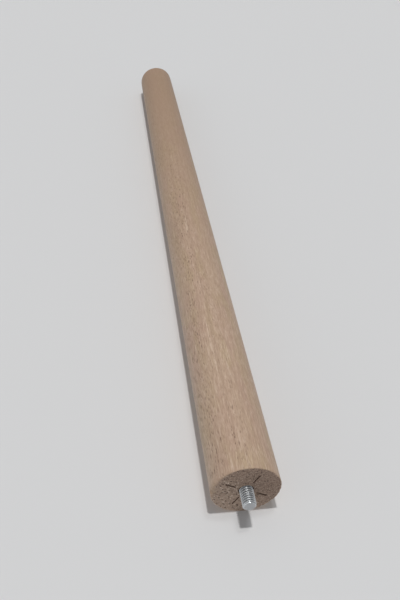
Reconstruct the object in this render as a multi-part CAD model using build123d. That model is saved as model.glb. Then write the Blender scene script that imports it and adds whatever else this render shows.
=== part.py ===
from build123d import *
from math import radians, tan
import os

# A turned wooden furniture leg with a hanger bolt in its head.
# Millimetres. +Z runs up the leg's axis, and the foot stands on Z = 0 at the origin.

# Turned leg: a straight taper from the head, which meets the furniture, down to the foot
LEG_LENGTH = 450.0
HEAD_DIAMETER = 40.0
FOOT_DIAMETER = 26.5
FOOT_ROUNDING = 5.0
HEAD_EDGE_BREAK = 0.6

# Marks that the four prongs of the lathe's drive centre leave in the head, angles in degrees
PRONG_COUNT = 4
PRONG_TURN = 61.0
PRONG_INNER_RADIUS = 7.0
PRONG_OUTER_RADIUS = 14.0
PRONG_MARK_WIDTH = 1.0
PRONG_MARK_DEPTH = 2.0

# Hanger bolt: a machine-threaded stud, a plain shank and a wood screw in one piece of steel
STUD_DIAMETER = 7.94
STUD_LENGTH = 11.0
STUD_END_CHAMFER = 0.9
SHANK_DIAMETER = 7.0
SHANK_LENGTH = 12.0

# Wood screw: a round core with a blunt point, and one coarse ridge wound round it
SCREW_LENGTH = 18.0
SCREW_CORE_DIAMETER = 5.8
SCREW_CREST_DIAMETER = 7.94
SCREW_PITCH = 2.82
RIDGE_CREST_WIDTH = 0.35
RIDGE_FLANK_ANGLE = 30.0
RIDGE_ROOT_DEPTH = 0.5
POINT_LENGTH = 8.0
POINT_DIAMETER = 1.0
POINT_LEAD = 3.0

# Bore in the head: a mouth drilled wider than the stud, then close round the shank and the screw
MOUTH_DEPTH = 6.0
MOUTH_CLEARANCE = 0.3
SEAT_CLEARANCE = 0.05

# Heights on the leg's axis, from the stud's end down to the screw's point
STUD_TOP = LEG_LENGTH + STUD_LENGTH
MOUTH_FLOOR = LEG_LENGTH - MOUTH_DEPTH
SCREW_TOP = LEG_LENGTH - SHANK_LENGTH
POINT_TOP = SCREW_TOP - SCREW_LENGTH
POINT_TIP = POINT_TOP - POINT_LENGTH


def turned(*half_section):
    """Revolves a half section, given as (radius, height) points, about the leg's axis."""
    return revolve(Plane.XZ * make_face(Polyline(*half_section, close=True)), Axis.Z)


def buried_section(shank_top, room):
    """Half section of the bolt's shank, screw core and point, grown by the room it needs."""
    shank = SHANK_DIAMETER / 2 + room
    core = SCREW_CORE_DIAMETER / 2 + room
    tip = POINT_DIAMETER / 2 + room
    return [
        (shank, shank_top),
        (shank, SCREW_TOP),
        (core, SCREW_TOP),
        (core, POINT_TOP),
        (tip, POINT_TIP - room),
        (0, POINT_TIP - room),
    ]


def screw_ridge(room):
    """The wood screw's thread, wound on a helix and cut to a lead where the point begins."""
    crest = SCREW_CREST_DIAMETER / 2 + room
    root = SCREW_CORE_DIAMETER / 2 + room - RIDGE_ROOT_DEPTH
    crest_half = RIDGE_CREST_WIDTH / 2 + room
    root_half = crest_half + (crest - root) * tan(radians(RIDGE_FLANK_ANGLE))
    section = make_face(
        Polyline((root, -root_half), (crest, -crest_half), (crest, crest_half), (root, root_half), close=True)
    )
    helix = Helix(SCREW_PITCH, SCREW_LENGTH - SCREW_PITCH, root)
    ridge = Pos(0, 0, POINT_TOP) * sweep(Plane.XZ * section, helix, is_frenet=True)
    tip = POINT_DIAMETER / 2 + room
    widening = (crest - tip) / (POINT_LEAD + POINT_LENGTH)
    wide = tip + widening * (LEG_LENGTH - POINT_TIP)
    lead = turned((0, POINT_TIP), (tip, POINT_TIP), (wide, LEG_LENGTH), (0, LEG_LENGTH))
    return ridge & lead


def hanger_bolt():
    """One steel bolt: the stud above, the shank, and the wood screw below."""
    stud = STUD_DIAMETER / 2
    rod = turned(
        (0, STUD_TOP),
        (stud - STUD_END_CHAMFER, STUD_TOP),
        (stud, STUD_TOP - STUD_END_CHAMFER),
        (stud, LEG_LENGTH),
        *buried_section(LEG_LENGTH, 0),
    )
    return rod + screw_ridge(0)


def bolt_bore():
    """What the drill and the bolt take out of the head: a wide mouth, a shank bore and the screw's thread."""
    mouth = STUD_DIAMETER / 2 + MOUTH_CLEARANCE
    drilled = turned(
        (0, LEG_LENGTH),
        (mouth, LEG_LENGTH),
        (mouth, MOUTH_FLOOR),
        *buried_section(MOUTH_FLOOR, SEAT_CLEARANCE),
    )
    return drilled + screw_ridge(SEAT_CLEARANCE)


def prong_marks():
    """The wedge-shaped marks of the drive centre's prongs, spread evenly round the axis."""
    half = PRONG_MARK_WIDTH / 2
    wedge = make_face(Polyline((-half, 0), (half, 0), (0, -PRONG_MARK_DEPTH), close=True))
    mark = Pos(0, 0, LEG_LENGTH) * extrude(Plane.YZ * wedge, PRONG_OUTER_RADIUS - PRONG_INNER_RADIUS)
    return PolarLocations(PRONG_INNER_RADIUS, PRONG_COUNT, start_angle=PRONG_TURN) * mark


def leg():
    """The turned leg with its rounded foot, its bore and the marks in its head."""
    head = HEAD_DIAMETER / 2
    foot = FOOT_DIAMETER / 2
    half_section = make_face(Polyline((0, 0), (foot, 0), (head, LEG_LENGTH), (0, LEG_LENGTH), close=True))
    foot_corner = half_section.vertices().sort_by_distance((foot, 0))[0]
    half_section = fillet(foot_corner, FOOT_ROUNDING)
    head_corner = half_section.vertices().sort_by_distance((head, LEG_LENGTH))[0]
    half_section = chamfer(head_corner, HEAD_EDGE_BREAK)
    return revolve(Plane.XZ * half_section, Axis.Z) - bolt_bore() - prong_marks()


os.makedirs("parts", exist_ok=True)
export_step(leg(), "parts/leg.step")
export_step(hanger_bolt(), "parts/hanger_bolt.step")
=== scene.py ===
import logging
from collections.abc import Callable
from dataclasses import dataclass, field
from enum import Enum
from math import atan, pi, radians, tan
from typing import Any

import bpy
import numpy as np
from bpy.types import Material, Mesh, NodeSocket, NodeTree, Object
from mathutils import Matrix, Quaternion, Vector, noise


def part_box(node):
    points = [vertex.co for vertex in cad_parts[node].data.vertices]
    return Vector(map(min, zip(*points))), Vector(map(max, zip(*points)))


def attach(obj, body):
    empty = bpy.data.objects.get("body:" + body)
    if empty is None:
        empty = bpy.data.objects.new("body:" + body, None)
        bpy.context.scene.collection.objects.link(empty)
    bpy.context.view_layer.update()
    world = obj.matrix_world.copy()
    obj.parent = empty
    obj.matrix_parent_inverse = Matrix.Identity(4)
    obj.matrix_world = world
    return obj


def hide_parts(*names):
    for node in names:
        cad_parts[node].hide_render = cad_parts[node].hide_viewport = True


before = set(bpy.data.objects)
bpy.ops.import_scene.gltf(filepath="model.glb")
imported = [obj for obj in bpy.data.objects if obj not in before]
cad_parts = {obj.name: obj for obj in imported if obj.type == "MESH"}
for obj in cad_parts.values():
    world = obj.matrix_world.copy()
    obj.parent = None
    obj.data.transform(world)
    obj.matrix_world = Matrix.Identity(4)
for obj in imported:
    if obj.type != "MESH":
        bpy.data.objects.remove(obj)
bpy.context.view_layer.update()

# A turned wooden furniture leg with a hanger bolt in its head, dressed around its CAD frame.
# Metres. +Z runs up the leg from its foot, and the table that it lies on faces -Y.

BODY = "root"
MM = 0.001
INCH = 25.4 * MM
FULL_TURN = 2 * pi

log = logging.getLogger("furniture_leg")

Colour = tuple[float, float, float]
WHITE: Colour = (1.0, 1.0, 1.0)
WARM_WHITE: Colour = (1.0, 0.985, 0.965)


class Slot(Enum):
    """The record's material slots."""

    WOOD = "bare_wood"
    STEEL = "zinc_steel"


class Node(Enum):
    """The CAD nodes that the dressed pieces stand for."""

    LEG = "leg"
    BOLT = "hanger_bolt"


class Mask(Enum):
    """What shows in the wood: first what every cut of it has, then what one cut has for itself."""

    RINGS = "Rings"
    RAYS = "Rays"
    FIBRES = "Fibres"
    HAIRS = "Hairs"
    VESSELS = "Vessels"
    PATCHES = "Patches"
    TINT = "Tint"
    STREAKS = "Streaks"
    UNDER = "Under"
    # painted shade: the side darkens towards the foot
    LOW = "Low"
    MOTTLE = "Mottle"
    # painted light: the sawn face is lighter on one side
    SIDE = "Side"
    TORN = "Torn"
    PORES = "Pores"
    SAW = "Saw"
    # painted shade, by depth below the sawn face
    DEPTH = "Depth"


def math_step(operation: str) -> Callable[..., "Field"]:
    """Makes a method for fields that lays out one math node.

    Args:
        operation: The node's operation, in Blender's name for it.

    Returns:
        The method.
    """

    def step(*values: Any) -> "Field":
        """Lays out the node.

        Args:
            values: Its inputs in order, fields or plain numbers, with one field at least.

        Returns:
            Its result.
        """
        tree = next(value.tree for value in values if isinstance(value, Field))
        node = tree.nodes.new("ShaderNodeMath")
        node.operation = operation
        for place, value in enumerate(values):
            plug(tree, value, node.inputs[place])
        return Field(tree, node.outputs[0])

    return step


@dataclass(frozen=True)
class Field:
    """A value that changes over a surface: arithmetic on it lays out math nodes.

    A remainder is never below zero, and a comparison gives one or zero. The bearing of one field to another
    is the angle of the point that lies the other along and this across.
    """

    tree: NodeTree
    socket: NodeSocket

    __add__ = __radd__ = math_step("ADD")
    __sub__ = math_step("SUBTRACT")
    __mul__ = __rmul__ = math_step("MULTIPLY")
    __truediv__ = math_step("DIVIDE")
    __mod__ = math_step("FLOORED_MODULO")
    __gt__ = math_step("GREATER_THAN")
    __abs__ = math_step("ABSOLUTE")
    root = math_step("SQRT")
    sine = math_step("SINE")
    cosine = math_step("COSINE")
    bearing = math_step("ARCTAN2")

    def __rsub__(self, other: Any) -> "Field":
        """Takes this away from the other."""
        return math_step("SUBTRACT")(other, self)

    def rise(self, low: float, high: float) -> "Field":
        """Eases from zero at the low value to one at the high value.

        Args:
            low: Where the ease starts. It may be the greater one, and then the ease falls.
            high: Where the ease ends.

        Returns:
            The eased field.
        """
        node = self.tree.nodes.new("ShaderNodeMapRange")
        node.interpolation_type = "SMOOTHSTEP"
        upwards = low < high
        plug(self.tree, self, node.inputs["Value"])
        node.inputs["From Min"].default_value = min(low, high)
        node.inputs["From Max"].default_value = max(low, high)
        node.inputs["To Min"].default_value = 0.0 if upwards else 1.0
        node.inputs["To Max"].default_value = 1.0 if upwards else 0.0
        return Field(self.tree, node.outputs["Result"])


Amount = Any  # a Field, an array or a plain number: one formula serves nodes and mesh code


def lesser(a: Amount, b: Amount) -> Amount:
    """Gives the lesser of two amounts."""
    return (a + b - abs(a - b)) / 2


def greater(a: Amount, b: Amount) -> Amount:
    """Gives the greater of two amounts."""
    return (a + b + abs(a - b)) / 2


def pick(test: Amount, if_true: Amount, if_false: Amount) -> Amount:
    """Gives one amount where a test of one or zero holds, and the other elsewhere."""
    return if_false + (if_true - if_false) * test


def ease(level: Amount) -> Amount:
    """Rounds both ends of a ramp that runs from zero to one."""
    return level * level * (3.0 - level * 2.0)


def plug(tree: NodeTree, value: Any, socket: NodeSocket) -> None:
    """Gives an input socket its value.

    Args:
        tree: The tree that holds the socket.
        value: A field or an output socket to link, or a plain value to set.
        socket: The input.
    """
    if isinstance(value, Field):
        value = value.socket
    if isinstance(value, NodeSocket):
        tree.links.new(value, socket)
    elif socket.type == "RGBA":
        socket.default_value = (*value, 1.0)
    else:
        socket.default_value = value


@dataclass
class Bench:
    """Lays out and links the nodes of one tree."""

    tree: NodeTree

    def node(self, kind: str, inputs: dict | None = None, **settings: Any) -> bpy.types.Node:
        """Adds a node.

        Args:
            kind: The node's type, in Blender's name for it.
            inputs: Values for its inputs by name or number.
            settings: Values for its own properties.

        Returns:
            The node.
        """
        node = self.tree.nodes.new(kind)
        for name, value in settings.items():
            setattr(node, name, value)
        self.feed(node, inputs or {})
        return node

    def feed(self, node: bpy.types.Node, inputs: dict) -> None:
        """Gives a node's inputs their values, by name or number."""
        for name, value in inputs.items():
            plug(self.tree, value, node.inputs[name])

    def field(self, socket: NodeSocket) -> Field:
        """Wraps an output of this tree."""
        return Field(self.tree, socket)

    def axes(self, vector: Any) -> list[Field]:
        """Splits a vector into its three fields."""
        parts = self.node("ShaderNodeSeparateXYZ", {0: vector})
        return [self.field(part) for part in parts.outputs]

    def vector(self, x: Amount, y: Amount, z: Amount) -> NodeSocket:
        """Joins three fields into a vector."""
        return self.node("ShaderNodeCombineXYZ", {0: x, 1: y, 2: z}).outputs[0]

    def clouds(self, vector: Any, detail: float = 2.0, roughness: float = 0.5) -> Field:
        """Adds soft noise that runs from zero to one.

        Args:
            vector: Where the noise is read, already at the scale that is wanted.
            detail: How many finer layers are added.
            roughness: How strong the finer layers are.

        Returns:
            The noise.
        """
        sockets = {"Vector": vector, "Scale": 1.0, "Detail": detail, "Roughness": roughness}
        return self.field(self.node("ShaderNodeTexNoise", sockets).outputs[0])

    def swings(self, vector: Any) -> Field:
        """Adds soft noise that swings to both sides of zero."""
        return self.clouds(vector) - 0.5

    def cells(self, place: list[Field], size: float, warp: Amount = 0.0) -> NodeSocket:
        """Gives places at a scale of one unit to a cell.

        Args:
            place: The place's three fields.
            size: A cell's size.
            warp: How far the places are pushed aside, as a share of a cell.

        Returns:
            The scaled places.
        """
        x, y, z = place
        return self.vector(x / size + warp, y / size - warp, z / size)

    def bump(self, height: Field, relief: float, strength: float) -> NodeSocket:
        """Turns a height into a bumpy normal."""
        sockets = {"Height": height, "Distance": relief, "Strength": strength}
        return self.node("ShaderNodeBump", sockets).outputs["Normal"]

    def blend(self, factor: Amount, first: Any, second: Any) -> NodeSocket:
        """Mixes two colours by a field.

        Args:
            factor: Zero for the first colour, one for the second.
            first: A colour or an output socket.
            second: A colour or an output socket.

        Returns:
            The mixed colour's output.
        """
        mix = self.node("ShaderNodeMix", data_type="RGBA")
        by_kind = [socket for socket in mix.inputs if socket.type == "RGBA"]
        plug(self.tree, factor, mix.inputs[0])
        plug(self.tree, first, by_kind[0])
        plug(self.tree, second, by_kind[1])
        return next(socket for socket in mix.outputs if socket.type == "RGBA")


def add_socket(tree: NodeTree, name: str, way: str, kind: str) -> Any:
    """Adds a named socket to a node group.

    Args:
        tree: The group.
        name: The socket's name.
        way: INPUT or OUTPUT.
        kind: The socket's type without its NodeSocket prefix, such as Float.

    Returns:
        The interface's new socket.
    """
    return tree.interface.new_socket(name, in_out=way, socket_type="NodeSocket" + kind)


def new_material(name: str) -> tuple[Material, Bench, bpy.types.Node]:
    """Starts a material.

    Args:
        name: The material's name.

    Returns:
        The material, a bench for its nodes, and its Principled shader.
    """
    material = bpy.data.materials.new(name)
    material.use_nodes = True
    tree = material.node_tree
    tree.nodes.clear()
    bench = Bench(tree)
    shader = bench.node("ShaderNodeBsdfPrincipled")
    bench.node("ShaderNodeOutputMaterial", {"Surface": shader.outputs["BSDF"]})
    return material, bench, shader


def new_object(name: str, data: Any) -> Object:
    """Puts a mesh, a lamp or a camera into the scene.

    Args:
        name: The object's name.
        data: What it holds.

    Returns:
        The object.
    """
    thing = bpy.data.objects.new(name, data)
    bpy.context.scene.collection.objects.link(thing)
    return thing


@dataclass(frozen=True)
class Grains:
    """Grains that lie scattered, one in each cell of a loose grid.

    The size is a grain's radius as a share of a cell, and soft is how far its edge reaches inwards as a share
    of that radius. Each grain draws a number from zero to one. It is hidden up to the draw's first value, and
    shows in full from the second.
    """

    size: float
    soft: float
    draw: tuple[float, float]

    def scatter(self, bench: Bench, places: Any) -> Field:
        """Lays the grains out.

        Args:
            bench: Where the nodes go.
            places: Where the grains are read, at a scale of one unit to a cell.

        Returns:
            The grains' mask.
        """
        cells = bench.node("ShaderNodeTexVoronoi", {"Vector": places, "Scale": 1.0})
        mask = bench.field(cells.outputs["Distance"]).rise(self.size, self.size * (1.0 - self.soft))
        return mask * bench.axes(cells.outputs["Color"])[0].rise(*self.draw)


class Tone(Enum):
    """The colours that show in raw beech, side and sawn end."""

    PALE = (0.595, 0.464, 0.364)
    LIGHT = (0.450, 0.325, 0.234)
    PINK = (0.432, 0.298, 0.223)
    STRAW = (0.424, 0.311, 0.204)
    LATE_WOOD = (0.300, 0.200, 0.140)
    RAY = (0.150, 0.092, 0.058)
    # painted shade for the lower leg, not a colour of the wood
    FOOT_SHADE = (0.292, 0.194, 0.128)
    END_GRAIN = (0.285, 0.204, 0.148)
    SAWN = (0.500, 0.375, 0.292)
    SAWN_DARK = (0.222, 0.147, 0.113)
    TORN = (0.780, 0.645, 0.530)
    PORE = (0.080, 0.052, 0.036)
    # painted shade for the prong marks and the bore
    RECESS_SHADE = (0.175, 0.117, 0.082)


@dataclass(frozen=True)
class BeechFigure:
    """The figure that runs all through a piece of beech, as a node group that every cut of it shares.

    Sizes are millimetres, across the grain and then along it. The tree's pith runs beside the leg, so the
    sides that face it and face away from it show the rays' ends as short dark flecks, and the two between
    show them faintly.
    """

    pith: tuple[float, float] = (-66.0, 66.0)
    pith_lean: tuple[float, float] = (0.012, -0.02)
    ring_width: float = 2.6
    ring_darkens: tuple[float, float] = (0.3, 0.93)
    ring_ends: tuple[float, float] = (1.0, 0.95)
    ring_wander: float = 5.0
    wander: tuple[float, float] = (60.0, 190.0)
    uneven_rings: tuple[float, float] = (7.0, 240.0)
    unevenness: float = 1.6
    rays: tuple[tuple[float, float, float], ...] = ((0.90, 5.4, 30.0), (0.62, 3.6, 20.0))
    ray_reach: float = 92.0
    ray_warp: tuple[float, float] = (1.6, 7.0)
    ray_ends: Grains = Grains(size=0.38, soft=0.6, draw=(0.0, 0.9))
    end_on: tuple[float, float] = (0.6, 1.0)
    edge_on: float = 0.2
    crowd: tuple[float, float] = (8.0, 110.0)
    crowd_seed: float = 6.8
    crowd_edge: tuple[float, float] = (0.38, 0.58)
    lone_rays: float = 0.25
    fibre: tuple[float, float] = (0.75, 5.5)
    fibre_layers: float = 3.0
    hair: tuple[float, float] = (0.28, 6.0)
    hair_layers: float = 2.0
    fineness: float = 0.6
    vessel: tuple[float, float] = (0.62, 4.2)
    vessels: Grains = Grains(size=0.34, soft=0.6, draw=(0.3, 0.9))
    patch: tuple[float, float] = (14.0, 60.0)
    tint: tuple[float, float] = (8.0, 30.0)
    tint_shift: float = 7.0
    streak: tuple[float, float] = (1.3, 38.0)
    streak_shift: float = 35.0

    def group(self) -> NodeTree:
        """Builds the group.

        Returns:
            The group: Position and Normal in, and one mask out for each thing that shows in the wood.
        """
        tree = bpy.data.node_groups.new("beech_figure", "ShaderNodeTree")
        add_socket(tree, "Position", "INPUT", "Vector")
        add_socket(tree, "Normal", "INPUT", "Vector")
        bench = Bench(tree)
        given = bench.node("NodeGroupInput").outputs
        x, y, z = [part / MM for part in bench.axes(given["Position"])]
        facing = bench.axes(given["Normal"])

        def stretched(size: tuple[float, float], shift: float = 0.0) -> NodeSocket:
            """Gives places at a scale of so much across the grain and so much along it."""
            return bench.vector(x / size[0] + shift, y / size[0], z / size[1])

        across = x - z * self.pith_lean[0] - self.pith[0]
        along = y - z * self.pith_lean[1] - self.pith[1]
        reach = (across * across + along * along).root()
        end_on = abs(facing[0] * across + facing[1] * along) / reach
        reach = reach + bench.swings(stretched(self.wander)) * self.ring_wander
        around = across.bearing(along * -1.0) * self.ray_reach
        shown = pick(end_on.rise(*self.end_on), 1.0, self.edge_on)
        masks = {
            Mask.RINGS: self._rings(bench, reach, z),
            Mask.RAYS: self._rays(bench, around, z, reach) * shown,
            Mask.FIBRES: bench.clouds(stretched(self.fibre), self.fibre_layers, self.fineness),
            Mask.HAIRS: bench.clouds(stretched(self.hair), self.hair_layers, self.fineness),
            Mask.VESSELS: self.vessels.scatter(bench, stretched(self.vessel)),
            Mask.PATCHES: bench.clouds(stretched(self.patch)),
            Mask.TINT: bench.clouds(stretched(self.tint, self.tint_shift)),
            Mask.STREAKS: bench.clouds(stretched(self.streak, self.streak_shift)),
        }
        sink = tree.nodes.new("NodeGroupOutput")
        for mask, amount in masks.items():
            add_socket(tree, mask.value, "OUTPUT", "Float")
            plug(tree, amount, sink.inputs[mask.value])
        return tree

    def _rings(self, bench: Bench, reach: Field, height: Field) -> Field:
        """Growth rings: each one darkens slowly outwards and ends in a thin dark line.

        Args:
            bench: Where the nodes go.
            reach: Distance from the pith.
            height: Height on the leg.

        Returns:
            The rings' mask, one at their dark lines.
        """
        wide, long = self.uneven_rings
        uneven = bench.clouds(bench.vector(reach / wide, height / long, 0.0)) * self.unevenness
        turn = (reach / self.ring_width + uneven) % 1.0
        return turn.rise(*self.ring_darkens) * turn.rise(*self.ring_ends)

    def _rays(self, bench: Bench, around: Field, height: Field, reach: Field) -> Field:
        """Rays: thin upright blades that run out from the pith, cut by the leg's round side.

        Args:
            bench: Where the nodes go.
            around: Distance round the pith.
            height: Height on the leg.
            reach: Distance from the pith.

        Returns:
            The mask of the cut rays, which stand in crowds.
        """
        wide, high = self.ray_warp
        warp = bench.swings(bench.vector(around / wide, height / high, 0.0))
        wide, high = self.crowd
        crowd = bench.clouds(bench.vector(around / wide, height / high, self.crowd_seed))
        crowd = pick(crowd.rise(*self.crowd_edge), 1.0, self.lone_rays)
        blades = []
        for wide, high, deep in self.rays:
            place = bench.vector(around / wide + warp, height / high + warp, reach / deep)
            blades.append(self.ray_ends.scatter(bench, place))
        return greater(*blades) * crowd


@dataclass(frozen=True)
class Coat:
    """A colour that covers the wood where one of its masks goes from one value to another."""

    mask: Mask
    tone: Tone
    start: float = 0.0
    full: float = 1.0
    strength: float = 1.0

    def lay(self, bench: Bench, masks: dict[Mask, Field], ground: Any) -> NodeSocket:
        """Lays the coat.

        Args:
            bench: The material's bench.
            masks: The wood's masks.
            ground: The colour below, or its output.

        Returns:
            The output of both together.
        """
        amount = masks[self.mask].rise(self.start, self.full) * self.strength
        return bench.blend(amount, ground, self.tone.value)


@dataclass(frozen=True)
class WoodFinish:
    """One cut of the beech: coats of colour over its ground, and hollows, that follow its figure."""

    name: str
    ground: Tone
    coats: tuple[Coat, ...]
    hollows: tuple[tuple[Mask, float], ...]
    relief: float
    bump: float
    roughness: tuple[Mask, float, float]
    gloss: float
    fuzz: float

    def own_masks(self, bench: Bench, spots: Any) -> dict[Mask, Field]:
        """Gives the masks that this cut has beside the figure's.

        Args:
            bench: The material's bench.
            spots: The outputs of its Texture Coordinate node.

        Returns:
            The masks.
        """
        raise NotImplementedError

    def material(self, figure: NodeTree) -> Material:
        """Builds the material.

        Args:
            figure: The shared figure's group.

        Returns:
            The material.
        """
        material, bench, shader = new_material(self.name)
        spots = bench.node("ShaderNodeTexCoord").outputs
        places = {"Position": spots["Object"], "Normal": spots["Normal"]}
        group = bench.node("ShaderNodeGroup", places, node_tree=figure)
        masks = {Mask(socket.name): bench.field(socket) for socket in group.outputs}
        masks.update(self.own_masks(bench, spots))
        colour = self.ground.value
        for coat in self.coats:
            colour = coat.lay(bench, masks, colour)
        mask, low, high = self.roughness
        roughness = masks[mask] * (high - low) + low
        height = sum(masks[mask] * depth for mask, depth in self.hollows)
        bench.feed(shader, {
            "Base Color": colour,
            "Roughness": roughness,
            "Normal": bench.bump(height, self.relief, self.bump),
            "Specular IOR Level": self.gloss,
            "Sheen Weight": self.fuzz,
        })
        return material


@dataclass(frozen=True)
class SandedBeech(WoodFinish):
    """The leg's turned, sanded side, left raw: painted shade darkens it to the foot, where it rounds under to
    end grain.
    """

    name: str = "sanded_beech"
    ground: Tone = Tone.LIGHT
    coats: tuple[Coat, ...] = (
        Coat(Mask.PATCHES, Tone.PINK, start=0.34, full=0.66),
        Coat(Mask.TINT, Tone.STRAW, start=0.44, full=0.66, strength=0.9),
        Coat(Mask.UNDER, Tone.END_GRAIN, start=0.25, full=0.85, strength=0.85),
        Coat(Mask.RINGS, Tone.LATE_WOOD, strength=0.25),
        Coat(Mask.STREAKS, Tone.PALE, start=0.635, full=0.73, strength=0.8),
        Coat(Mask.STREAKS, Tone.LATE_WOOD, start=0.37, full=0.28, strength=0.45),
        Coat(Mask.FIBRES, Tone.LATE_WOOD, start=0.5, full=0.72, strength=0.42),
        Coat(Mask.FIBRES, Tone.PALE, start=0.5, full=0.28, strength=0.48),
        Coat(Mask.HAIRS, Tone.LATE_WOOD, start=0.48, full=0.75, strength=0.55),
        Coat(Mask.HAIRS, Tone.PALE, start=0.48, full=0.25, strength=0.55),
        Coat(Mask.VESSELS, Tone.LATE_WOOD, strength=0.55),
        Coat(Mask.RAYS, Tone.RAY, strength=0.85),
        # painted shade: darkens the side towards the foot
        Coat(Mask.LOW, Tone.FOOT_SHADE, strength=0.8),
    )
    hollows: tuple[tuple[Mask, float], ...] = (
        (Mask.RAYS, -0.5),
        (Mask.VESSELS, -0.8),
        (Mask.HAIRS, -0.5),
        (Mask.FIBRES, -0.4),
    )
    relief: float = 0.08 * MM
    bump: float = 0.8
    roughness: tuple[Mask, float, float] = (Mask.FIBRES, 0.5, 0.66)
    gloss: float = 0.3
    fuzz: float = 0.07
    # the height over which the painted shade fades out up the leg, and how much of it stays on the foot's end
    shade_falloff_height: float = 360.0 * MM
    foot_turns: tuple[float, float] = (0.5, 0.97)
    end_shade_share: float = 0.5

    def own_masks(self, bench: Bench, spots: Any) -> dict[Mask, Field]:
        """Gives how far the surface turns under at the foot, and the painted shade that grows lower down the
        leg's side.

        Args:
            bench: The material's bench.
            spots: The outputs of its Texture Coordinate node.

        Returns:
            The two masks.
        """
        under = bench.axes(spots["Normal"])[2] * -1.0
        # painted shade: darker lower down the leg, weaker where the foot turns under
        low = 1.0 - bench.axes(spots["Object"])[2] / self.shade_falloff_height
        bare = pick(under.rise(*self.foot_turns), self.end_shade_share, 1.0)
        return {Mask.UNDER: under, Mask.LOW: low * bare}


@dataclass(frozen=True)
class CutBeech(WoodFinish):
    """Sawn end grain: open, rough and darker than the side, with painted shade darkest down in the prong
    marks and the bore.
    """

    name: str = "cut_beech"
    ground: Tone = Tone.SAWN
    coats: tuple[Coat, ...] = (
        Coat(Mask.MOTTLE, Tone.SAWN_DARK, start=0.37, full=0.63),
        Coat(Mask.PATCHES, Tone.SAWN_DARK, start=0.35, full=0.65, strength=0.2),
        Coat(Mask.RINGS, Tone.SAWN_DARK, strength=0.3),
        # painted light: the sawn face grows lighter towards +X and +Y, as if lit from that side
        Coat(Mask.SIDE, Tone.SAWN, start=-10 * MM, full=18 * MM, strength=0.6),
        Coat(Mask.VESSELS, Tone.PORE, strength=0.55),
        Coat(Mask.TORN, Tone.TORN),
        Coat(Mask.PORES, Tone.PORE, strength=0.92),
        # painted shade: darker with depth below the face, in the prong marks and the bore
        Coat(Mask.DEPTH, Tone.RECESS_SHADE, full=0.5 * MM),
    )
    hollows: tuple[tuple[Mask, float], ...] = (
        (Mask.PORES, -1.0),
        (Mask.VESSELS, -0.5),
        (Mask.MOTTLE, 0.6),
        (Mask.TORN, 0.5),
        (Mask.SAW, 0.4),
    )
    relief: float = 0.3 * MM
    bump: float = 0.8
    roughness: tuple[Mask, float, float] = (Mask.MOTTLE, 0.68, 0.88)
    gloss: float = 0.2
    fuzz: float = 0.0
    face_height: float = 0.0
    pore_cell: float = 1.35 * MM
    pores: Grains = Grains(size=0.44, soft=0.5, draw=(0.2, 0.6))
    far_pores: float = 0.6
    tear: tuple[float, float] = (0.9 * MM, 2.0 * MM)
    tears: Grains = Grains(size=0.44, soft=0.7, draw=(0.1, 0.6))
    far_tears: float = 0.35
    # the painted lit side's span and slant; pores and torn fibres show weaker away from it
    lit_side_span: tuple[float, float] = (-16.0 * MM, 16.0 * MM)
    lit_side_slant: float = 0.5
    ragged_cell: float = 0.7 * MM
    raggedness: float = 1.4
    mottle_cell: float = 0.9 * MM
    mottle_layers: float = 4.0
    mottle_fineness: float = 0.7
    saw_mark: tuple[float, float] = (0.9 * MM, 16.0 * MM)
    saw_slant: float = 0.35

    def own_masks(self, bench: Bench, spots: Any) -> dict[Mask, Field]:
        """Gives the sawn face's open pores, torn fibres and saw marks, its painted lit side, and the depth
        below it, which carries painted shade.

        Args:
            bench: The material's bench.
            spots: The outputs of its Texture Coordinate node.

        Returns:
            The masks.
        """
        place = bench.axes(spots["Object"])
        x, y, z = place

        def sawn(size: tuple[float, float], warp: Amount = 0.0) -> NodeSocket:
            """Gives places at a scale of so much across the saw's marks and so much along them."""
            along = (y - x * self.saw_slant) / size[1]
            return bench.vector((x + y * self.saw_slant) / size[0] + warp, along - warp, 0.0)

        ragged = bench.swings(bench.cells(place, self.ragged_cell)) * self.raggedness
        pores = self.pores.scatter(bench, bench.cells(place, self.pore_cell, ragged))
        tears = self.tears.scatter(bench, sawn(self.tear, ragged))
        # painted light: a slant across the face towards the lit side, where pores and torn fibres also show
        # more strongly
        side = x + y * self.lit_side_slant
        lit_share = side.rise(*self.lit_side_span)
        mottled = bench.cells(place, self.mottle_cell)
        return {
            Mask.PORES: pores * pick(lit_share, 1.0, self.far_pores),
            Mask.TORN: tears * pick(lit_share, 1.0, self.far_tears),
            Mask.MOTTLE: bench.clouds(mottled, self.mottle_layers, self.mottle_fineness),
            Mask.SAW: bench.clouds(sawn(self.saw_mark)),
            Mask.SIDE: side,
            # depth below the face, which the painted shade follows
            Mask.DEPTH: self.face_height - z,
        }


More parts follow.
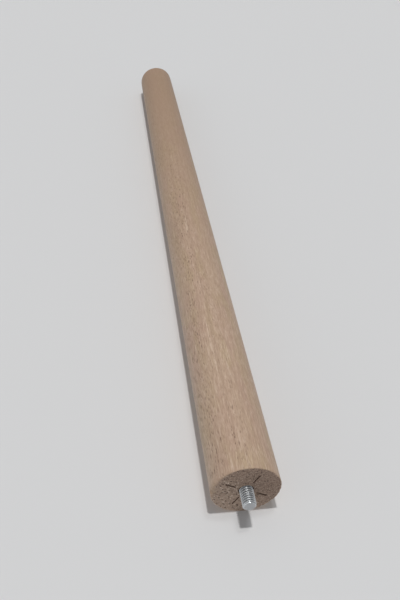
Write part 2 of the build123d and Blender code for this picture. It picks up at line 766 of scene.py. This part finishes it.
@dataclass(frozen=True)
class BrightZinc:
    """Bright zinc plate on rolled steel, dull on its sheared ends, with painted shade down in the stud's
    thread roots.
    """

    root_radius: float
    crest_radius: float
    thread_top: float
    bright: Colour = (0.68, 0.70, 0.715)
    dull: Colour = (0.51, 0.53, 0.545)
    sheared: Colour = (0.47, 0.48, 0.49)
    # painted shade for the thread's roots: its colour, how far up the flanks it reaches, how strong it is,
    # and where it stops below the end chamfer
    root_shade: Colour = (0.10, 0.105, 0.11)
    root_shade_reach: float = 0.75
    root_shade_strength: float = 0.7
    root_shade_edge: float = 0.12 * MM
    smooth: float = 0.38
    rough: float = 0.52
    blotch: float = 1.6 * MM
    blotch_layers: float = 4.0
    blotch_fineness: float = 0.6
    worn_blotches: tuple[float, float] = (0.4, 0.72)
    end_faces: tuple[float, float] = (0.9, 0.99)
    scratch: tuple[float, float] = (1.0 * MM, 0.12 * MM)
    relief: float = 0.02 * MM
    bump: float = 0.5

    def material(self) -> Material:
        """Builds the material.

        Returns:
            The material.
        """
        material, bench, shader = new_material("bright_zinc")
        spots = bench.node("ShaderNodeTexCoord").outputs
        place = bench.axes(spots["Object"])
        x, y, z = place
        ends = abs(bench.axes(spots["Normal"])[2]).rise(*self.end_faces)
        # painted shade: dark near the thread's root radius, stopping below the top of the thread
        unshaded_radius = self.root_radius + (self.crest_radius - self.root_radius) * self.root_shade_reach
        deep = (x * x + y * y).root().rise(unshaded_radius, self.root_radius)
        deep = deep * z.rise(self.thread_top, self.thread_top - self.root_shade_edge)
        blotches = bench.clouds(bench.cells(place, self.blotch), self.blotch_layers, self.blotch_fineness)
        long, fine = self.scratch
        scratches = bench.clouds(bench.vector(x / long, y / long, z / fine))
        worn = blotches.rise(*self.worn_blotches)
        ground = bench.blend(worn, self.bright, self.dull)
        ground = bench.blend(ends, ground, self.sheared)
        # lays the painted shade into the thread's roots
        ground = bench.blend(deep * self.root_shade_strength, ground, self.root_shade)
        bench.feed(shader, {
            "Base Color": ground,
            "Roughness": worn * (self.rough - self.smooth) + self.smooth,
            "Normal": bench.bump(scratches + blotches, self.relief, self.bump),
            "Metallic": 1.0,
        })
        return material


@dataclass(frozen=True)
class Thread:
    """A right-hand thread: one ridge wound round a core, rolled, so its crest and root are rounded."""

    pitch: Amount
    crest_radius: Amount
    root_radius: Amount
    crest_width: Amount
    start: float
    flank: float = radians(30.0)

    def radius(self, height: Amount, angle: Amount) -> Amount:
        """Gives the thread's radius at a point.

        Args:
            height: The point's height. The ridge's middle passes angle zero at the thread's start.
            angle: The point's angle round the axis.

        Returns:
            The radius there.
        """
        turn = (height - self.start) / self.pitch - angle / FULL_TURN + 0.5
        away = abs(turn % 1.0 - 0.5) * self.pitch
        depth = self.crest_radius - self.root_radius
        level = 1.0 - (away - self.crest_width / 2) / (depth * tan(self.flank))
        level = greater(lesser(level, 1.0), 0.0)
        return self.root_radius + depth * ease(level)


@dataclass
class HangerBolt:
    """A machine-threaded stud, a plain shank and a wood screw in one piece of steel."""

    stud_top: float
    stud_foot: float
    point_tip: float
    stud_radius: float
    stud_pitch: float = INCH / 18
    crest_share: float = 1 / 8
    root_share: float = 1 / 4
    run_out: float = 1.4 * MM
    end_chamfer: float = 0.9 * MM
    shank_radius: float = 3.5 * MM
    shank_length: float = 12.0 * MM
    core_radius: float = 2.9 * MM
    screw_pitch: float = 2.82 * MM
    ridge_width: float = 0.35 * MM
    point_length: float = 8.0 * MM
    point_radius: float = 0.5 * MM
    point_lead: float = 3.0 * MM
    steps_round: int = 72
    step_along: float = 0.07 * MM
    weld: float = 0.0007 * MM
    crease: float = radians(62.0)

    def stud_thread(self, pitch: Amount, crest: Amount) -> Thread:
        """Gives a machine thread, whose crests and roots are set shares of its pitch."""
        depth = pitch * ((1 - self.crest_share - self.root_share) / 2 / tan(Thread.flank))
        return Thread(pitch, crest, crest - depth, pitch * self.crest_share, self.stud_foot)

    def screw_thread(self, pitch: Amount, core: Amount) -> Thread:
        """Gives the wood screw's coarse thread."""
        return Thread(pitch, self.stud_radius, core, self.ridge_width, self.point_tip + self.point_length)

    def buried_radius(self, thread: Thread, height: Amount, angle: Amount) -> Amount:
        """Gives the radius of the shank and the wood screw.

        Args:
            thread: The wood screw's thread.
            height: Height on the axis.
            angle: Angle round the axis.

        Returns:
            The radius there.
        """
        above_tip = height - self.point_tip
        point = above_tip * ((self.core_radius - self.point_radius) / self.point_length) + self.point_radius
        core = lesser(thread.root_radius, point)
        lead = above_tip * ((self.stud_radius - self.point_radius) / (self.point_length + self.point_lead))
        lead = lead + self.point_radius
        shank_foot = self.stud_foot - self.shank_length
        winding = pick(height > shank_foot - self.screw_pitch, thread.root_radius,
                       lesser(thread.radius(height, angle), lead))
        return pick(height > shank_foot, self.shank_radius, greater(core, winding))

    def thread_tree(self) -> NodeTree:
        """Builds the Geometry Nodes tree that turns a flat grid into the bolt.

        Returns:
            The tree. Its inputs are the sizes that a maker would choose, and the finish.
        """
        tree = bpy.data.node_groups.new("wound_threads", "GeometryNodeTree")
        for name, kind in (("Stud Radius", "Float"), ("Stud Pitch", "Float"), ("Screw Core", "Float"),
                           ("Screw Pitch", "Float"), ("Steps Round", "Int"), ("Steps Along", "Int"),
                           ("Finish", "Material")):
            add_socket(tree, name, "INPUT", kind)
        add_socket(tree, "Geometry", "OUTPUT", "Geometry")
        bench = Bench(tree)
        given = {socket.name: socket for socket in bench.node("NodeGroupInput").outputs}
        grid = bench.node("GeometryNodeMeshGrid", {"Size X": 1.0, "Size Y": 1.0,
                                                   "Vertices X": given["Steps Round"],
                                                   "Vertices Y": given["Steps Along"]})
        across, along, _ = bench.axes(bench.node("GeometryNodeInputPosition").outputs[0])
        angle = (across + 0.5) * FULL_TURN
        stud = self.stud_thread(bench.field(given["Stud Pitch"]), bench.field(given["Stud Radius"]))
        screw = self.screw_thread(bench.field(given["Screw Pitch"]), bench.field(given["Screw Core"]))
        end_radius = self.stud_radius - self.end_chamfer
        length = self.stud_top - self.point_tip
        path = (along + 0.5) * (end_radius + length + self.point_radius)
        drop = greater(lesser(path - end_radius, length), 0.0)
        height = self.stud_top - drop
        formed = greater(lesser((height - self.stud_foot) / self.run_out + 1.0, 1.0), 0.0)
        threaded = pick(formed, stud.radius(height, angle), self.shank_radius)
        rod = pick(height > self.stud_foot - self.run_out, lesser(threaded, drop + end_radius),
                   self.buried_radius(screw, height, angle))
        radius = lesser(lesser(rod, path), end_radius + length + self.point_radius - path)
        place = bench.vector(radius * angle.cosine(), radius * angle.sine(), height)
        shaped = bench.node("GeometryNodeSetPosition", {"Geometry": grid.outputs["Mesh"], "Position": place})
        welding = {"Geometry": shaped.outputs[0], "Distance": self.weld}
        closed = bench.node("GeometryNodeMergeByDistance", welding)
        real = bench.node("GeometryNodeRealizeInstances", {"Geometry": closed.outputs[0]})
        dressing = {"Geometry": real.outputs[0], "Material": given["Finish"]}
        dressed = bench.node("GeometryNodeSetMaterial", dressing)
        bench.node("NodeGroupOutput", {"Geometry": dressed.outputs[0]})
        return tree

    def build(self, finish: Material) -> Object:
        """Makes the bolt as a plain mesh in its place.

        Args:
            finish: The bolt's material.

        Returns:
            The bolt.
        """
        tree = self.thread_tree()
        profile = self.stud_radius - self.end_chamfer + self.stud_top - self.point_tip + self.point_radius
        values = {
            "Stud Radius": self.stud_radius,
            "Stud Pitch": self.stud_pitch,
            "Screw Core": self.core_radius,
            "Screw Pitch": self.screw_pitch,
            "Steps Round": self.steps_round + 1,
            "Steps Along": round(profile / self.step_along),
            "Finish": finish,
        }
        maker = new_object("bolt_maker", bpy.data.meshes.new("bolt_maker"))
        modifier = maker.modifiers.new("threads", "NODES")
        modifier.node_group = tree
        for socket in tree.interface.items_tree:
            if socket.in_out == "INPUT":
                modifier[socket.identifier] = values[socket.name]
        ready = maker.evaluated_get(bpy.context.evaluated_depsgraph_get())
        mesh = bpy.data.meshes.new_from_object(ready)
        bpy.data.objects.remove(maker)
        return settle("threaded_bolt", mesh, Node.BOLT, self.crease)


def settle(name: str, mesh: Mesh, node: Node, crease: float) -> Object:
    """Makes an object of a finished mesh, and puts it on the frame in place of its CAD node.

    Args:
        name: The piece's name.
        mesh: Its mesh, in its place.
        node: The CAD node that it stands for.
        crease: The least angle between two faces at which their edge shows as sharp.

    Returns:
        The piece.
    """
    piece = new_object(name, mesh)
    mesh.shade_smooth()
    mesh.set_sharp_from_angle(angle=crease)
    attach(piece, BODY)
    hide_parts(node.value)
    return piece


def ring_noise(angles: np.ndarray, lumps: float, layer: float) -> np.ndarray:
    """Gives smooth noise round a ring, which meets itself.

    Args:
        angles: Where it is read.
        lumps: About how many lumps there are to a radian.
        layer: A number that makes one ring's noise unlike another's.

    Returns:
        One value for each angle, from about -1 to 1.
    """
    return np.array([noise.noise(Vector((np.cos(a) * lumps, np.sin(a) * lumps, layer))) for a in angles])


@dataclass(frozen=True)
class Knock:
    """A place where the head's edge was rubbed off: its angle, how far it spreads and how deep it is."""

    angle: float
    spread: float
    depth: float

    def depths(self, angles: np.ndarray) -> np.ndarray:
        """Gives its depth at each of the angles."""
        apart = (angles - self.angle + pi) % FULL_TURN - pi
        return self.depth * np.exp(-((apart / self.spread) ** 2))


@dataclass
class TurnedLeg:
    """The turned taper, with its bored head and the marks of the lathe's drive centre."""

    length: float
    head_radius: float
    bolt: HangerBolt
    foot_radius: float = 13.25 * MM
    foot_rounding: float = 5.0 * MM
    edge_break: float = 0.35 * MM
    edge_chips: float = 0.6 * MM
    broad_chips: tuple[float, float] = (9.0, 0.5)
    fine_chips: tuple[float, float] = (27.0, 4.5)
    uneven_rub: float = 0.6
    knocks: tuple[Knock, ...] = (
        Knock(angle=radians(-22.0), spread=radians(30.0), depth=1.3 * MM),
        Knock(angle=radians(-2.0), spread=radians(7.0), depth=1.4 * MM),
    )
    mouth_radius: float = 4.27 * MM
    mouth_depth: float = 6.0 * MM
    mouth_tears: tuple[float, float] = (7.0, 8.5)
    tear: tuple[float, float] = (0.1575 * MM, 0.2025 * MM)
    seat_room: float = 0.05 * MM
    prongs: int = 4
    prong_turn: float = radians(61.0)
    prong_inner: float = 7.0 * MM
    prong_outer: float = 14.0 * MM
    prong_half_width: float = 0.5 * MM
    prong_depth: float = 2.0 * MM
    lip_crush: float = 0.12 * MM
    lip_width: float = 1.1
    lip_start: float = 0.99
    lip_level: float = 0.3
    lip_noise: tuple[float, float, float] = (700.0, 14.0, 2.5)
    mark_columns: tuple[float, ...] = (-2.4, -1.5, -1.0, -0.5, 0.0, 0.5, 1.0, 1.5, 2.4)
    steps_between: int = 40
    foot_rows: int = 6
    rounding_rows: int = 14
    rim_rows: int = 6
    outer_rows: int = 8
    mark_rows: int = 16
    inner_rows: int = 7
    mouth_rows: int = 8
    side_step: float = 3.0 * MM
    face_step: float = 0.45 * MM
    bore_step: float = 0.2 * MM
    wall_run: float = 0.02 * MM
    crease: float = radians(38.0)
    rows: list[tuple[np.ndarray, np.ndarray, np.ndarray]] = field(default_factory=list)

    @property
    def slope(self) -> float:
        """How much the radius grows for each unit of height."""
        return (self.head_radius - self.foot_radius) / self.length

    @property
    def deepest_wear(self) -> float:
        """More than the head's edge has lost anywhere."""
        return self.edge_break + self.edge_chips + sum(knock.depth for knock in self.knocks)

    def columns(self, radius: float) -> np.ndarray:
        """Gives the angles of the mesh's columns, which run straight along each prong mark.

        Args:
            radius: Distance from the axis.

        Returns:
            One angle for each column, rising round the whole turn.
        """
        aside = np.array(self.mark_columns) * self.prong_half_width
        beside = np.arcsin(aside / max(radius, self.mouth_radius))
        sector = FULL_TURN / self.prongs
        between = np.linspace(beside[-1], sector + beside[0], self.steps_between + 2)[1:-1]
        one = np.concatenate((beside, between))
        return np.concatenate([one + self.prong_turn + sector * place for place in range(self.prongs)])

    def add_row(self, radius: Amount, height: Amount, angles: np.ndarray | None = None) -> None:
        """Adds a row of points to the mesh.

        Args:
            radius: Their distance from the axis, one for all of them or one for each.
            height: Their height, likewise.
            angles: Their columns' angles, if they aren't those of the head's rim.
        """
        angles = self.columns(self.head_radius) if angles is None else angles
        each = np.ones_like(angles)
        self.rows.append((angles, each * radius, each * height))

    def foot_and_side(self) -> None:
        """Adds the rows from the foot's middle, round its edge and up the taper to the head."""
        bend = pi / 2 + atan(self.slope)
        flat = self.foot_radius - self.foot_rounding * tan(bend / 2)
        for share in np.linspace(0.0, 1.0, self.foot_rows)[:-1]:
            self.add_row(flat * share, 0.0)
        for turn in np.linspace(0.0, bend, self.rounding_rows):
            self.add_row(flat + self.foot_rounding * np.sin(turn), self.foot_rounding * (1 - np.cos(turn)))
        start = self.rows[-1][2][0]
        stop = self.length - self.deepest_wear
        for height in np.linspace(start, stop, round((stop - start) / self.side_step))[1:]:
            self.add_row(self.foot_radius + self.slope * height, height)

    def head_rim(self) -> None:
        """Adds the rows of the head's edge: broken all round, chipped by the saw, rounded where rubbed."""
        angles = self.columns(self.head_radius)
        fine = ring_noise(angles, *self.fine_chips)
        chips = np.clip(ring_noise(angles, *self.broad_chips) + fine, 0.0, 1.0) * self.edge_chips
        rubbed = sum(knock.depths(angles) for knock in self.knocks)
        rubbed = rubbed * (1.0 + np.clip(fine, -self.uneven_rub, 0.0))
        worn = self.edge_break + chips + rubbed
        for turn in np.linspace(0.0, pi / 2, self.rim_rows):
            height = self.length - worn * (1 - np.sin(turn))
            radius = self.foot_radius + self.slope * height - worn * (1 - np.cos(turn))
            self.add_row(radius, height, angles)

    def head_face(self) -> None:
        """Adds the rows of the head's flat end, pressed in at the four prong marks."""
        ends = (self.prong_outer, self.prong_inner)
        start = self.head_radius - self.deepest_wear - self.face_step
        stop = self.mouth_radius + self.face_step
        stops = [
            *np.linspace(start, ends[0] + self.wall_run, self.outer_rows),
            *np.linspace(*ends, self.mark_rows),
            *np.linspace(ends[1] - self.wall_run, stop, self.inner_rows),
        ]
        run, round_scale, layer = self.lip_noise
        sector = FULL_TURN / self.prongs
        for radius in stops:
            angles = self.columns(radius)
            apart = (angles - self.prong_turn + sector / 2) % sector - sector / 2
            aside = abs(radius * np.sin(apart)) / self.prong_half_width
            along = ends[1] <= radius <= ends[0]
            pressed = np.clip(1.0 - aside, 0.0, 1.0) * self.prong_depth * along
            lips = np.clip(1.0 - (aside - 1.0) / self.lip_width, 0.0, 1.0) * (aside > self.lip_start) * along
            ragged = np.array([noise.noise(Vector((radius * run, a * round_scale, layer))) for a in angles])
            crushed = lips * self.lip_crush * np.clip(self.lip_level - ragged, 0.0, 1.0)
            self.add_row(radius, self.length - pressed - crushed, angles)

    def bore(self) -> None:
        """Adds the rows of the bore: a wide mouth, then walls close round the shank and the wood screw."""
        angles = self.columns(self.mouth_radius)
        floor = self.length - self.mouth_depth
        tear, uneven = self.tear
        torn = self.mouth_radius + tear + uneven * ring_noise(angles, *self.mouth_tears)
        self.add_row(torn, self.length, angles)
        for height in np.linspace(self.length - self.face_step, floor, self.mouth_rows):
            self.add_row(self.mouth_radius, height, angles)
        screw = self.bolt.screw_thread(self.bolt.screw_pitch, self.bolt.core_radius)
        tip = self.bolt.point_tip - self.seat_room
        for height in np.linspace(floor, tip, round((floor - tip) / self.bore_step)):
            radius = self.bolt.buried_radius(screw, height, angles) + self.seat_room
            self.add_row(radius, height, angles)
        self.add_row(0.0, tip, angles)

    def build(self, side: Material, cut: Material) -> Object:
        """Makes the leg as one closed mesh.

        Args:
            side: The material of its turned side and its foot.
            cut: The material of its sawn head and its bore.

        Returns:
            The leg.
        """
        self.foot_and_side()
        self.head_rim()
        cut_from = len(self.rows) - 1
        self.head_face()
        self.bore()
        points = [np.stack((r * np.cos(a), r * np.sin(a), z), axis=1) for a, r, z in self.rows]
        width = len(points[0])
        inner = np.concatenate(points[1:-1])
        corners = np.vstack((points[0][:1], inner, points[-1][:1]))
        first, last = 0, len(corners) - 1
        beside = np.roll(np.arange(width), -1)
        faces = []
        for row in range(len(points) - 1):
            low = 1 + (row - 1) * width
            high = low + width
            for here, there in enumerate(beside):
                if row == 0:
                    faces.append((first, high + there, high + here))
                elif row == len(points) - 2:
                    faces.append((low + here, low + there, last))
                else:
                    faces.append((low + here, low + there, high + there, high + here))
        mesh = bpy.data.meshes.new("turned_leg")
        mesh.from_pydata(corners.tolist(), [], faces)
        mesh.materials.append(side)
        mesh.materials.append(cut)
        indices = np.arange(len(faces)) // width >= cut_from
        mesh.polygons.foreach_set("material_index", indices.astype(np.int32))
        mesh.validate()
        return settle("turned_leg", mesh, Node.LEG, self.crease)


@dataclass(frozen=True)
class Lamp:
    """A far lamp, as a sun with a soft edge."""

    name: str
    towards: tuple[float, float, float]
    level: float
    softness: float
    colour: Colour = WHITE

    def place(self) -> None:
        """Adds the lamp. Its level is the share of its colour that a white surface facing it would show."""
        light = bpy.data.lights.new(self.name, "SUN")
        light.energy = self.level * pi
        light.angle = self.softness
        light.color = self.colour
        lamp = new_object(self.name, light)
        lamp.rotation_euler = Vector(self.towards).to_track_quat("Z", "Y").to_euler()


@dataclass
class Studio:
    """The pale table, the lamps, the air round them and the camera."""

    leg: TurnedLeg
    table_colour: Colour = (0.635, 0.640, 0.650)
    table_reach: float = 3.0
    table_roughness: float = 0.7
    table_gloss: float = 0.2
    overhead_colour: Colour = (0.200, 0.205, 0.215)
    overhead: tuple[float, float] = (0.35, 0.85)
    air_level: float = 0.34
    air_colour: Colour = (0.97, 0.985, 1.0)
    lens: float = 53.0
    eye: tuple[float, float, float] = (0.0937, -0.4049, 0.7231)
    aim: tuple[float, float, float] = (0.0027, 0.0006, 0.2958)
    roll: float = radians(-192.18)
    lamps: tuple[Lamp, ...] = (
        Lamp("key_lamp", towards=(0.0, -1.0, 0.0), level=0.52, softness=radians(3.0), colour=WARM_WHITE),
        Lamp("second_lamp", towards=(-0.12, -1.0, -0.13), level=0.11, softness=radians(6.0)),
        Lamp("side_lamp", towards=(0.9, -0.3, 0.25), level=0.09, softness=radians(60.0)),
        Lamp("back_lamp", towards=(-0.1, 1.0, -0.45), level=0.66, softness=radians(70.0), colour=WARM_WHITE),
    )

    def table_material(self) -> Material:
        """Builds the table's plain pale finish.

        Returns:
            The material, clear from behind so that the leg's back can be seen.
        """
        material, bench, shader = new_material("pale_table")
        bench.feed(shader, {
            "Base Color": self.table_colour,
            "Roughness": self.table_roughness,
            "Specular IOR Level": self.table_gloss,
        })
        behind = bench.node("ShaderNodeNewGeometry").outputs["Backfacing"]
        clear = bench.node("ShaderNodeBsdfTransparent")
        mix = bench.node("ShaderNodeMixShader", {0: behind, 1: shader.outputs[0], 2: clear.outputs[0]})
        sink = next(node for node in bench.tree.nodes if node.type == "OUTPUT_MATERIAL")
        plug(bench.tree, mix.outputs[0], sink.inputs["Surface"])
        return material

    def table(self) -> None:
        """Lays the table against the leg's tapered side."""
        middle = self.leg.length / 2
        reach = self.table_reach / 2
        corners = []
        for x, z in ((-reach, -reach), (reach, -reach), (reach, reach), (-reach, reach)):
            height = middle + z
            corners.append((x, self.leg.foot_radius + self.leg.slope * height, height))
        mesh = bpy.data.meshes.new("table")
        mesh.from_pydata(corners, [], [(0, 1, 2, 3)])
        mesh.materials.append(self.table_material())
        table = new_object("table", mesh)
        table.visible_shadow = False

    def air(self) -> None:
        """Sets the soft light from all round, which shows as the table's own colour."""
        world = bpy.data.worlds.new("soft_air")
        world.use_nodes = True
        tree = world.node_tree
        tree.nodes.clear()
        bench = Bench(tree)
        ray = bench.node("ShaderNodeLightPath").outputs
        seen = bench.field(ray["Is Camera Ray"]) + bench.field(ray["Is Glossy Ray"])
        seen = seen + bench.field(ray["Is Transmission Ray"])
        way = bench.axes(bench.node("ShaderNodeTexCoord").outputs["Generated"])[2]
        backdrop = bench.blend(way.rise(*self.overhead), self.table_colour, self.overhead_colour)
        light = bench.node("ShaderNodeBackground", {"Color": self.air_colour, "Strength": self.air_level})
        shown = bench.node("ShaderNodeBackground", {"Color": backdrop, "Strength": 1.0})
        mix = bench.node("ShaderNodeMixShader", {0: seen, 1: light.outputs[0], 2: shown.outputs[0]})
        bench.node("ShaderNodeOutputWorld", {"Surface": mix.outputs[0]})
        bpy.context.scene.world = world

    def camera(self) -> None:
        """Stands the camera where the photograph was taken from."""
        data = bpy.data.cameras.new("camera")
        data.lens = self.lens
        camera = new_object("camera", data)
        look = Vector(self.aim) - Vector(self.eye)
        turn = look.to_track_quat("-Z", "Y") @ Quaternion((0.0, 0.0, 1.0), self.roll)
        camera.location = self.eye
        camera.rotation_euler = turn.to_euler()
        bpy.context.scene.camera = camera

    def build(self) -> None:
        """Sets up the whole studio."""
        self.table()
        self.air()
        for lamp in self.lamps:
            lamp.place()
        self.camera()
        bpy.context.scene.view_settings.view_transform = "Standard"


def main() -> None:
    """Builds the leg, its bolt and the studio, in that order."""
    logging.basicConfig(level=logging.INFO, format="%(name)s: %(message)s")
    _, leg_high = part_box(Node.LEG.value)
    bolt_low, bolt_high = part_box(Node.BOLT.value)
    bolt = HangerBolt(
        stud_top=bolt_high.z,
        stud_foot=leg_high.z,
        point_tip=bolt_low.z,
        stud_radius=bolt_high.x,
    )
    leg = TurnedLeg(length=leg_high.z, head_radius=leg_high.x, bolt=bolt)
    figure = BeechFigure().group()
    stud = bolt.stud_thread(bolt.stud_pitch, bolt.stud_radius)
    zinc = BrightZinc(stud.root_radius, stud.crest_radius, bolt.stud_top - bolt.end_chamfer)
    cut = CutBeech(face_height=leg.length)
    pieces = (leg.build(SandedBeech().material(figure), cut.material(figure)), bolt.build(zinc.material()))
    for piece in pieces:
        log.info("%s: %d faces", piece.name, len(piece.data.polygons))
    Studio(leg).build()
    log.info("studio ready")


if __name__ == "__main__":
    main()
